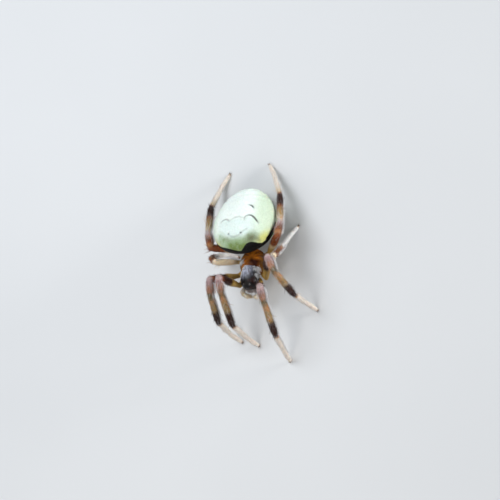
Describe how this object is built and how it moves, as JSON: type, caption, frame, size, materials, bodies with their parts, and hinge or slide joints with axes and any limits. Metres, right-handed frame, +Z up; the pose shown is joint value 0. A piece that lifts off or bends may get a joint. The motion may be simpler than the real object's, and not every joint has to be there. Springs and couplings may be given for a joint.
{
  "type": "orb weaver spider",
  "caption": "Orb weaver spider standing with raised knees: egg-shaped pale green abdomen, glossy dark head and thorax, banded legs, palps and jaws.",
  "frame": {"origin": "on the floor, under the middle of the spider's bounding box", "axes": "-Y towards the head, +X to the spider's left, +Z up"},
  "size_m": [0.0096, 0.0192, 0.0069],
  "materials": {
    "abdomen_skin": "pale mint-white abdomen, greener in front, with a yellow lobe and a black front band",
    "thorax_shell": "glossy orange-brown carapace",
    "head_shell": "glossy black head and jaws",
    "belly_shell": "dark brown sternum, waist and spinnerets",
    "eye": "polished black eyes",
    "fang": "dark red-brown fangs",
    "palp_skin": "pale tan palps with short hairs",
    "leg_base": "yellow-tan leg bases",
    "femur_skin": "yellow at the base, glossy black-brown towards the knee",
    "tibia_skin": "red-brown patella and tan tibia with a dark ring",
    "foot_skin": "pale cream metatarsus and tarsus"
  },
  "bodies": {
    "root": {"abdomen": "abdomen_skin", "chelicera_left": "head_shell", "chelicera_right": "head_shell", "coxa_left_1": "leg_base", "coxa_left_2": "leg_base", "coxa_left_3": "leg_base", "coxa_left_4": "leg_base", "coxa_right_1": "leg_base", "coxa_right_2": "leg_base", "coxa_right_3": "leg_base", "coxa_right_4": "leg_base", "eye_front_middle_left": "eye", "eye_front_middle_right": "eye", "eye_front_side_left": "eye", "eye_front_side_right": "eye", "eye_rear_middle_left": "eye", "eye_rear_middle_right": "eye", "eye_rear_side_left": "eye", "eye_rear_side_right": "eye", "fang_left": "fang", "fang_right": "fang", "femur_left_1": "femur_skin", "femur_left_2": "femur_skin", "femur_left_3": "femur_skin", "femur_left_4": "femur_skin", "femur_right_1": "femur_skin", "femur_right_2": "femur_skin", "femur_right_3": "femur_skin", "femur_right_4": "femur_skin", "foot_left_1": "foot_skin", "foot_left_2": "foot_skin", "foot_left_3": "foot_skin", "foot_left_4": "foot_skin", "foot_right_1": "foot_skin", "foot_right_2": "foot_skin", "foot_right_3": "foot_skin", "foot_right_4": "foot_skin", "head": "head_shell", "palp_left": "palp_skin", "palp_right": "palp_skin", "pedicel": "belly_shell", "spinneret_left_1": "belly_shell", "spinneret_left_2": "belly_shell", "spinneret_right_1": "belly_shell", "spinneret_right_2": "belly_shell", "sternum": "belly_shell", "thorax": "thorax_shell", "tibia_left_1": "tibia_skin", "tibia_left_2": "tibia_skin", "tibia_left_3": "tibia_skin", "tibia_left_4": "tibia_skin", "tibia_right_1": "tibia_skin", "tibia_right_2": "tibia_skin", "tibia_right_3": "tibia_skin", "tibia_right_4": "tibia_skin"}
  },
  "joints": []
}
